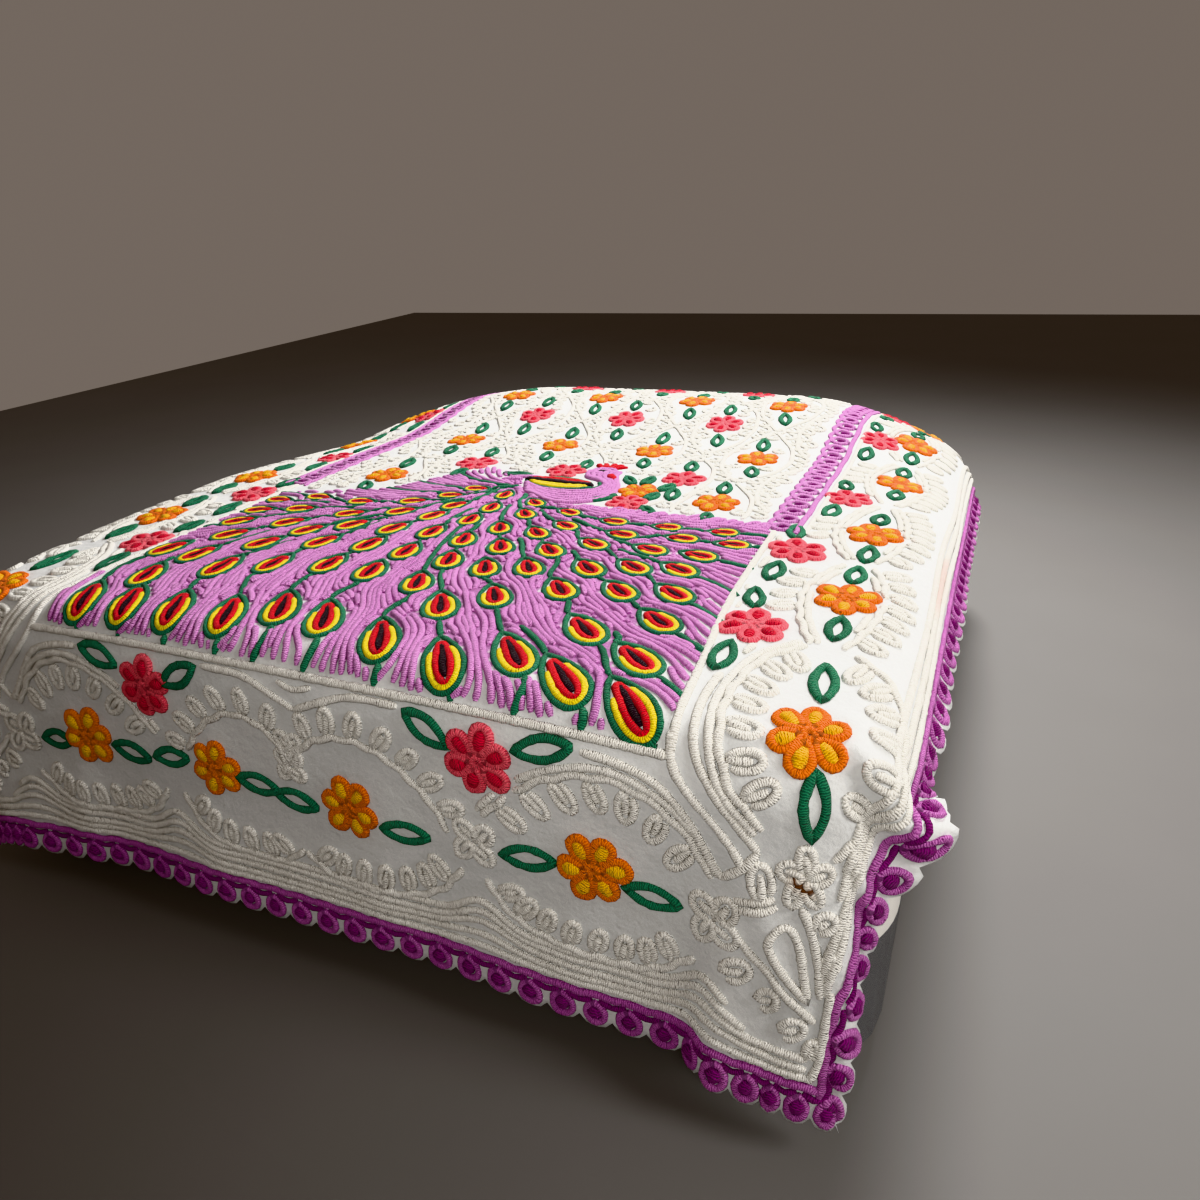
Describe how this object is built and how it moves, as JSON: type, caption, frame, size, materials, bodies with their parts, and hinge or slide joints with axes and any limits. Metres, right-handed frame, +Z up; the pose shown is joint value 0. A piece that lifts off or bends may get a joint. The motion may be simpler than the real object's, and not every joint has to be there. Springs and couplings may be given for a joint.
{
  "type": "chenille bedspread draped over a mattress and divan bed base",
  "caption": "Tufted cotton bedspread with a scalloped hem, lying over a mattress on a divan base and falling in folds at the foot corners",
  "frame": {"origin": "on the floor, under the middle of the whole object", "axes": "+X across the bed to the right seen from the foot, +Y from the foot to the head, +Z up"},
  "size_m": [2.0646, 2.1387, 0.7054],
  "materials": {
    "chenille_cotton": "white cotton sheeting with raised chenille rows in white, orchid, purple, green, orange, gold, pink and red",
    "mattress_ticking": "plain off-white woven ticking",
    "base_fabric": "plain charcoal upholstery cloth",
    "foot_plastic": "matte black"
  },
  "bodies": {
    "root": {"bedspread": "chenille_cotton", "mattress": "mattress_ticking", "bed_base": "base_fabric", "foot_1": "foot_plastic", "foot_2": "foot_plastic", "foot_3": "foot_plastic", "foot_4": "foot_plastic", "foot_5": "foot_plastic", "foot_6": "foot_plastic"}
  },
  "joints": []
}
